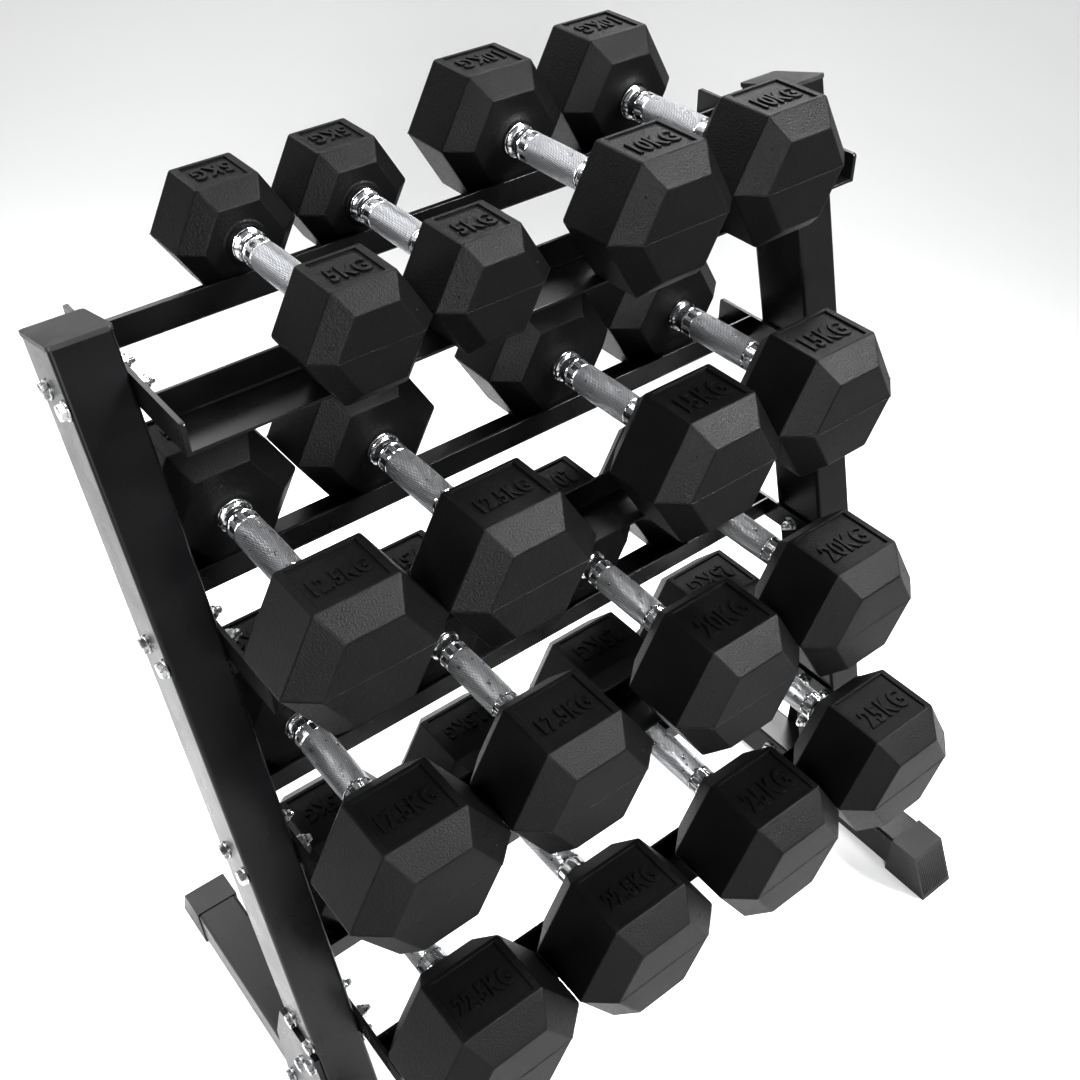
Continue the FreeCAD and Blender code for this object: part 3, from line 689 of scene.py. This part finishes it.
# Turned end of a handle in millimetres: radius past the handle's own, distance in from
# the head's cone, and zone.
HANDLE_END = (
    (-3, -0.5, PLAIN), (0.2, -0.3, PLAIN), (1.0, 0.4, PLAIN), (1.0, 1.6, PLAIN),
    (0.3, 2.0, PLAIN), (0.3, 2.6, PLAIN), (1.0, 3.0, PLAIN), (0.8, 4.8, PLAIN),
    (-0.6, 5.8, PLAIN), (-2.3, 6.6, PLAIN), (-2.6, 8.5, PLAIN), (-2.6, 12, PLAIN),
    (-2.2, 13.2, PLAIN), (-0.7, 13.8, PLAIN), (-0.2, 14.4, PLAIN), (-0.2, 16.6, PLAIN),
    (-0.7, 17, PLAIN), (-0.7, 17.6, PLAIN), (-0.35, 18, WINDOW), (-0.35, 18.5, WINDOW),
    (-0.35, 27.5, WINDOW), (-0.35, 28, WINDOW), (-0.35, 28.4, PLAIN), (-0.8, 28.8, PLAIN),
    (-0.8, 29.4, PLAIN), (-0.4, 29.8, KNURL),
)
# Of the steps round one window, so many are sunk and so many are polished.
WINDOW_STEPS, SUNK_STEPS, POLISHED_STEPS = 8, 5, 4


def handle_mesh(size, form):
    """Turned handle: collar, neck, end ring, windows and a swelling knurled grip."""
    r = size.radius
    face = size.grip / 2 - form.boss_high
    half = [(r - 3 * MM, size.grip / 2 + 12 * MM, PLAIN)]
    half += [(r + rise * MM, face - inward * MM, zone) for rise, inward, zone in HANDLE_END]
    grip_end = half[-1][1]
    steps = 8
    for i in range(1, steps + 1):
        y = grip_end * (1 - i / steps)
        half.append((r - 0.4 * MM * (y / grip_end) ** 2, y, KNURL))
    profile = [(radius, y) for radius, y, zone in half]
    zones = [zone for radius, y, zone in half]
    profile += [(radius, -y) for radius, y in reversed(profile[:-1])]
    zones += list(reversed(zones[:-1]))
    windows = {i for i, zone in enumerate(zones) if zone == WINDOW}

    def sunk(ring, step):
        """Depth of a window below the band that it is cut in."""
        inside = {ring - 1, ring, ring + 1} <= windows
        return -0.9 * MM if inside and step % WINDOW_STEPS < SUNK_STEPS else 0

    def finish(ring, step):
        """Knurled grip and window bars; everything else is polished."""
        if zones[ring] == KNURL and zones[min(ring + 1, len(zones) - 1)] == KNURL:
            return 1
        if {ring, ring + 1} <= windows:
            return 0 if step % WINDOW_STEPS < POLISHED_STEPS else 1
        return 0

    shape = bmesh.new()
    lathe(shape, profile, form.windows * WINDOW_STEPS, material=finish, warp=sunk)
    bmesh.ops.recalc_face_normals(shape, faces=shape.faces)
    return to_mesh(shape, "handle_" + size.kind, 40)


def dumbbell_bodies():
    """Names of all the dumbbells, in order."""
    return sorted(name for name in frame["bodies"] if name.startswith("dumbbell_"))


# ------------------------------------------------------------------ small parts
# M8 fasteners.
HEX_FLATS = 13 * MM
HEAD_HIGH = 5.3 * MM
THREAD_RUN = 24 * MM
THREAD_PITCH = 1.25 * MM


def seated(low, top, x, left):
    """Place on a fastener's seat at x; its head faces left or right."""
    sign = 1 if left else -1
    centre = Matrix.Translation((x, (low[1] + top[1]) / 2, (low[2] + top[2]) / 2))
    return centre @ Matrix.Diagonal((sign, 1, 1, 1))


def hex_ring(shape, across, x, place):
    """Corners of a hexagon across the flats, at x."""
    radius = across / math.sqrt(3)
    points = []
    for k in range(HEX_SIDES):
        angle = math.radians(60 * k + 30)
        points.append(shape.verts.new(place @ Vector(
            (x, radius * math.cos(angle), radius * math.sin(angle)))))
    return points


def hex_block(shape, across, near, far, place, crown):
    """Hexagonal block along X with a chamfered crown at the far end."""
    sign = 1 if far > near else -1
    rings = [hex_ring(shape, across - 0.5 * MM, near, place),
             hex_ring(shape, across, near + sign * 0.3 * MM, place),
             hex_ring(shape, across, far - sign * crown, place),
             hex_ring(shape, across - 1.6 * MM, far, place)]
    shape.faces.new(rings[0])
    shape.faces.new(rings[-1])
    for a, b in zip(rings, rings[1:]):
        for k in range(HEX_SIDES):
            following = (k + 1) % HEX_SIDES
            shape.faces.new((a[k], a[following], b[following], b[k]))


def thread_profile(radius, start, end, pitch):
    """Sawtooth of a rolled thread, with a chamfered tip."""
    profile = [(radius - 0.5 * pitch, start)]
    count = int((end - start - 1.2 * MM) / pitch)
    for i in range(count):
        y = start + i * pitch
        profile.append((radius, y + 0.35 * pitch))
        profile.append((radius, y + 0.5 * pitch))
        profile.append((radius - 0.55 * pitch, y + pitch))
    profile.append((radius - 1.1 * MM, end))
    profile.append((0.0001 * MM, end))
    return profile


def bolt_mesh():
    """All hexagon-head bolts with the thread that shows past each nut."""
    shape = bmesh.new()
    for low, top in islands("hex_bolts"):
        left = low[0] + top[0] < 0
        seat = low[0] + HEAD_HIGH if left else top[0] - HEAD_HIGH
        tip = top[0] - low[0] - HEAD_HIGH
        dish = 0.25 * MM - HEAD_HIGH
        place = seated(low, top, seat, left)
        hex_block(shape, HEX_FLATS, 0, -HEAD_HIGH, place, 0.9 * MM)
        # Bearing ring, dished head, plain shank and thread.
        for profile in (
                [(5.9 * MM, 0), (5.9 * MM, 0.35 * MM), (4 * MM, 0.35 * MM)],
                [(4.3 * MM, -HEAD_HIGH - 0.001 * MM), (3.9 * MM, dish), (0.001 * MM, dish)],
                [(3.95 * MM, 0), (3.95 * MM, tip - THREAD_RUN)],
                thread_profile(3.98 * MM, tip - THREAD_RUN, tip, THREAD_PITCH)):
            lathe(shape, profile, 24, place @ TO_X)
    bmesh.ops.recalc_face_normals(shape, faces=shape.faces)
    return to_mesh(shape, "bolts", 30)


def washer_mesh():
    """All plain washers, stamped, with rolled outer edges."""
    shape = bmesh.new()
    for low, top in islands("washers"):
        thick = top[0] - low[0]
        outer = (top[2] - low[2]) / 2
        place = seated(low, top, low[0], True) @ TO_X
        edge = 0.3 * MM
        bore = 4.25 * MM
        lathe(shape, [(bore, 0), (outer - edge, 0), (outer, edge), (outer, thick - edge),
                      (outer - edge, thick), (bore + edge, thick), (bore, thick - edge),
                      (bore, 0)], 36, place)
    bmesh.ops.remove_doubles(shape, verts=shape.verts, dist=1e-7)
    bmesh.ops.recalc_face_normals(shape, faces=shape.faces)
    return to_mesh(shape, "washers", 30)


def nut_mesh():
    """All lock nuts: a hexagon with a turned collar over a nylon ring."""
    shape = bmesh.new()
    collar = 2.6 * MM
    for low, top in islands("lock_nuts"):
        left = low[0] + top[0] < 0
        thick = top[0] - low[0]
        place = seated(low, top, low[0] if left else top[0], left)
        hex_block(shape, HEX_FLATS, 0, thick - collar, place, 0.8 * MM)
        lathe(shape, [(5.9 * MM, thick - collar - 0.2 * MM), (5.8 * MM, thick - 0.9 * MM),
                      (5.3 * MM, thick - 0.1 * MM), (4.9 * MM, thick)], 30, place @ TO_X)
        lathe(shape, [(4.9 * MM, thick), (4.1 * MM, thick - 0.5 * MM)], 30, place @ TO_X,
              material=1)
    bmesh.ops.recalc_face_normals(shape, faces=shape.faces)
    return to_mesh(shape, "nuts", 30)


def foot_cap_mesh():
    """Four moulded feet: a sleeve with a thick sole and a ribbed, sloping nose."""
    shape = bmesh.new()
    relief = 0.7 * MM
    nose_run = 27 * MM
    rib_wide = 1.3 * MM
    ribs = 15
    plain_side = 3 * MM
    plain_end = 5 * MM
    rib_high = 1.2 * MM
    rib_chamfer = 0.8 * MM
    for low, top in islands("foot_caps"):
        front = low[1] + top[1] < 0
        turn = 1 if front else -1
        nose = low[1] if front else top[1]
        heel = top[1] if front else low[1]
        high = top[2]

        def at(run, z):
            """Point measured from the nose's toe."""
            return (nose + turn * run, z)

        body = [at(relief, 0), at(abs(heel - nose), 0), at(abs(heel - nose), high),
                at(nose_run + relief, high)]
        prism(shape, body, low[0], top[0])
        slope = nose_run / high
        pitch = (top[0] - low[0] - 2 * plain_side) / ribs
        foot, head = plain_end, high - plain_end
        rib = [at(slope * foot + rib_high, foot), at(slope * foot, foot + rib_chamfer),
               at(slope * head, head - rib_chamfer), at(slope * head + rib_high, head)]
        for i in range(ribs):
            x = low[0] + plain_side + (i + 0.5) * pitch
            prism(shape, rib, x - rib_wide / 2, x + rib_wide / 2)
    bmesh.ops.recalc_face_normals(shape, faces=shape.faces)
    return to_mesh(shape, "foot_caps", 25)


# ------------------------------------------------------------------ operators
def finish_node(node_name, material, width):
    """Give a CAD part its material and softened edges."""
    node = frame["nodes"][node_name]
    node.data.materials.clear()
    node.data.materials.append(material)
    if width:
        weld = node.modifiers.new("weld", "WELD")
        weld.merge_threshold = 1e-6
        add_bevel(node, width)


class RACK_OT_frame(bpy.types.Operator):
    """Paint the uprights, base tubes, foot plates, arms and rails"""
    bl_idname = "rack.frame"
    bl_label = "Painted frame"

    def execute(self, context):
        finish = context.scene.rack_finish
        paint = powder_coat(finish.paint_colour)
        for name in sorted(frame["nodes"]):
            tube = name.startswith(("upright", "base_tube"))
            sheet = name.startswith("foot_plate") or name.endswith(("_arm", "_rail"))
            if tube or sheet:
                finish_node(name, paint, 0 if tube else finish.sheet_edge)
        return {"FINISHED"}


class RACK_OT_caps(bpy.types.Operator):
    """Finish the flat caps on top of the uprights"""
    bl_idname = "rack.caps"
    bl_label = "Top caps"

    def execute(self, context):
        finish = context.scene.rack_finish
        plastic = moulded_plastic(finish.plastic_colour)
        for name in ("top_cap_left", "top_cap_right"):
            finish_node(name, plastic, finish.cap_edge)
        return {"FINISHED"}


class RACK_OT_feet(bpy.types.Operator):
    """Model the four ribbed rubber feet"""
    bl_idname = "rack.feet"
    bl_label = "Feet"

    def execute(self, context):
        finish = context.scene.rack_finish
        rubber = moulded_plastic(finish.plastic_colour, "rubber_injection_moulded_feet")
        feet = new_piece("feet", foot_cap_mesh(), [rubber], ROOT)
        add_bevel(feet, 0.5 * MM)
        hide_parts("foot_caps")
        return {"FINISHED"}


class RACK_OT_fasteners(bpy.types.Operator):
    """Model the bolts, washers and lock nuts"""
    bl_idname = "rack.fasteners"
    bl_label = "Fasteners"

    def execute(self, context):
        zinc = zinc_plate()
        groups = (("bolts", bolt_mesh, "hex_bolts", [zinc]),
                  ("plain_washers", washer_mesh, "washers", [zinc]),
                  ("nuts", nut_mesh, "lock_nuts", [zinc, nylon()]))
        for name, make, node_name, materials in groups:
            piece = new_piece(name, make(), materials, ROOT)
            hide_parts(node_name)
        return {"FINISHED"}


class RACK_OT_heads(bpy.types.Operator):
    """Model the rubber hex heads with their weight plaques"""
    bl_idname = "rack.heads"
    bl_label = "Dumbbell heads"

    def execute(self, context):
        form = context.scene.rack_dumbbell
        rubber = moulded_rubber(context.scene.rack_finish.rubber_colour)
        meshes = {}
        for body in dumbbell_bodies():
            size = Dumbbell(body, form)
            if size.kind not in meshes:
                meshes[size.kind] = head_mesh(size, form)
            piece = new_piece(body + "_rubber_heads", meshes[size.kind], [rubber], body,
                              size.centre)
            add_bevel(piece, form.edge_round, 3, weighted=True)
            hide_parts(body + "_heads")
        return {"FINISHED"}


class RACK_OT_handles(bpy.types.Operator):
    """Model the knurled chrome handles"""
    bl_idname = "rack.handles"
    bl_label = "Dumbbell handles"

    def execute(self, context):
        form = context.scene.rack_dumbbell
        materials = [chrome_plate(), knurled_chrome()]
        meshes = {}
        for body in dumbbell_bodies():
            size = Dumbbell(body, form)
            if size.kind not in meshes:
                meshes[size.kind] = handle_mesh(size, form)
            piece = new_piece(body + "_bar", meshes[size.kind], materials, body,
                              size.centre)
            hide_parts(body + "_handle")
        return {"FINISHED"}


# name, place, aim (metres), side of the square (metres), power (watts), beam (degrees)
LAMPS = (
    ("key", (2.1, -2.3, 2.9), (-0.1, 0, 0.72), 1.1, 29, 32),
    ("key_low", (1.6, -3.4, 1.6), (0, -0.2, 0.5), 1.2, 2, 30),
    ("front_left", (-1.9, -2.7, 1.8), (0, 0, 0.65), 1.0, 15, 40),
    ("side_front", (-2.6, -2.2, 0.9), (0, 0, 0.45), 1.6, 34, 180),
    ("side_back", (-2.8, 1.6, 1.0), (0, 0, 0.45), 1.5, 42, 180),
    ("back_left", (-1.3, 1.7, 3.0), (-0.3, 0.3, 0), 1.5, 6, 180),
    ("back", (0, 2.6, 2.6), (0, 0, 0.6), 1.4, 7, 60),
    ("back_right", (2.2, 1.6, 3.0), (0, 0, 0.6), 1.2, 12, 45),
    ("over", (0.3, 0.4, 3.3), (0, 0, 0.4), 1.2, 9, 60),
)


# The fill comes from high up behind the rack, on its left.
FILL_AIM = Vector((0.3, -0.5, -0.81))
FILL_WIDTH = math.radians(50)
SKY_COLOUR = srgb("F2F3F5")
SKY_STRENGTH = 0.27
# Below 1, the display deepens the darks.
DISPLAY_GAMMA = 0.84
# The camera's own right, up and backward directions, and its place in metres.
CAMERA_AXES = ((0.790118, -0.612698, -0.017748), (0.410781, 0.507797, 0.757232),
               (-0.454942, -0.605593, 0.652905))
CAMERA_PLACE = (-0.5855, -0.7359, 1.4151)


def soft_light(name, place, target, size, power, spread):
    """Square lamp aimed at a target."""
    data = bpy.data.lights.new(name, "AREA")
    data.spread = math.radians(spread)
    data.shape = "SQUARE"
    data.size = size
    data.energy = power
    lamp = bpy.data.objects.new(name, data)
    lamp.location = place
    aim = Vector(target) - Vector(place)
    lamp.rotation_euler = aim.to_track_quat("-Z", "Y").to_euler()
    bpy.context.scene.collection.objects.link(lamp)


class RACK_OT_stage(bpy.types.Operator):
    """Set the floor, the soft lights and the camera"""
    bl_idname = "rack.stage"
    bl_label = "Stage"

    def execute(self, context):
        setup = context.scene.rack_stage
        shape = bmesh.new()
        bmesh.ops.create_circle(shape, cap_ends=True, segments=96, radius=30)
        mesh = bpy.data.meshes.new("floor")
        shape.to_mesh(mesh)
        shape.free()
        mesh.materials.append(floor_paint(setup.floor_colour))
        floor = bpy.data.objects.new("floor", mesh)
        context.scene.collection.objects.link(floor)
        for name, place, target, size, power, spread in LAMPS:
            soft_light(name, place, target, size, power * setup.lamp_power, spread)
        fill = bpy.data.lights.new("fill", "SUN")
        fill.energy = setup.sun_power
        fill.angle = FILL_WIDTH
        sky = bpy.data.objects.new("fill", fill)
        sky.rotation_euler = FILL_AIM.to_track_quat("-Z", "Y").to_euler()
        context.scene.collection.objects.link(sky)
        world = bpy.data.worlds.new("studio")
        world.use_nodes = True
        background = world.node_tree.nodes["Background"]
        background.inputs["Color"].default_value = (*SKY_COLOUR, 1)
        background.inputs["Strength"].default_value = SKY_STRENGTH
        context.scene.world = world
        context.scene.view_settings.view_transform = "Standard"
        context.scene.view_settings.gamma = DISPLAY_GAMMA
        data = bpy.data.cameras.new("camera")
        data.sensor_width = 36
        data.lens = setup.lens
        data.clip_start = 0.05
        camera = bpy.data.objects.new("camera", data)
        turn = Matrix(CAMERA_AXES).transposed().to_4x4()
        camera.matrix_world = Matrix.Translation(CAMERA_PLACE) @ turn
        context.scene.collection.objects.link(camera)
        context.scene.camera = camera
        return {"FINISHED"}


class RACK_PT_panel(bpy.types.Panel):
    """Lists the pieces of the rack"""
    bl_label = "Dumbbell rack"
    bl_idname = "RACK_PT_panel"
    bl_space_type = "VIEW_3D"
    bl_region_type = "UI"
    bl_category = "Rack"

    def draw(self, context):
        for operator in OPERATORS:
            self.layout.operator(operator.bl_idname)
        for group in (context.scene.rack_finish, context.scene.rack_dumbbell,
                      context.scene.rack_stage):
            box = self.layout.box()
            for name in group.bl_rna.properties.keys():
                if name not in ("rna_type", "name"):
                    box.prop(group, name)


OPERATORS = (RACK_OT_frame, RACK_OT_caps, RACK_OT_feet, RACK_OT_fasteners, RACK_OT_heads,
             RACK_OT_handles, RACK_OT_stage)
GROUPS = {"rack_finish": RackFinish, "rack_dumbbell": DumbbellShape, "rack_stage": StageSetup}


def register():
    """Register the settings, the operators and the panel."""
    for name, group in GROUPS.items():
        bpy.utils.register_class(group)
        setattr(bpy.types.Scene, name, PointerProperty(type=group))
    for operator in OPERATORS:
        bpy.utils.register_class(operator)
    bpy.utils.register_class(RACK_PT_panel)


def unregister():
    """Undo register."""
    bpy.utils.unregister_class(RACK_PT_panel)
    for operator in reversed(OPERATORS):
        bpy.utils.unregister_class(operator)
    for name, group in GROUPS.items():
        delattr(bpy.types.Scene, name)
        bpy.utils.unregister_class(group)


def main():
    """Build every piece and the stage."""
    register()
    for operator in OPERATORS:
        group, name = operator.bl_idname.split(".")
        getattr(getattr(bpy.ops, group), name)()


if __name__ == "__main__":
    main()
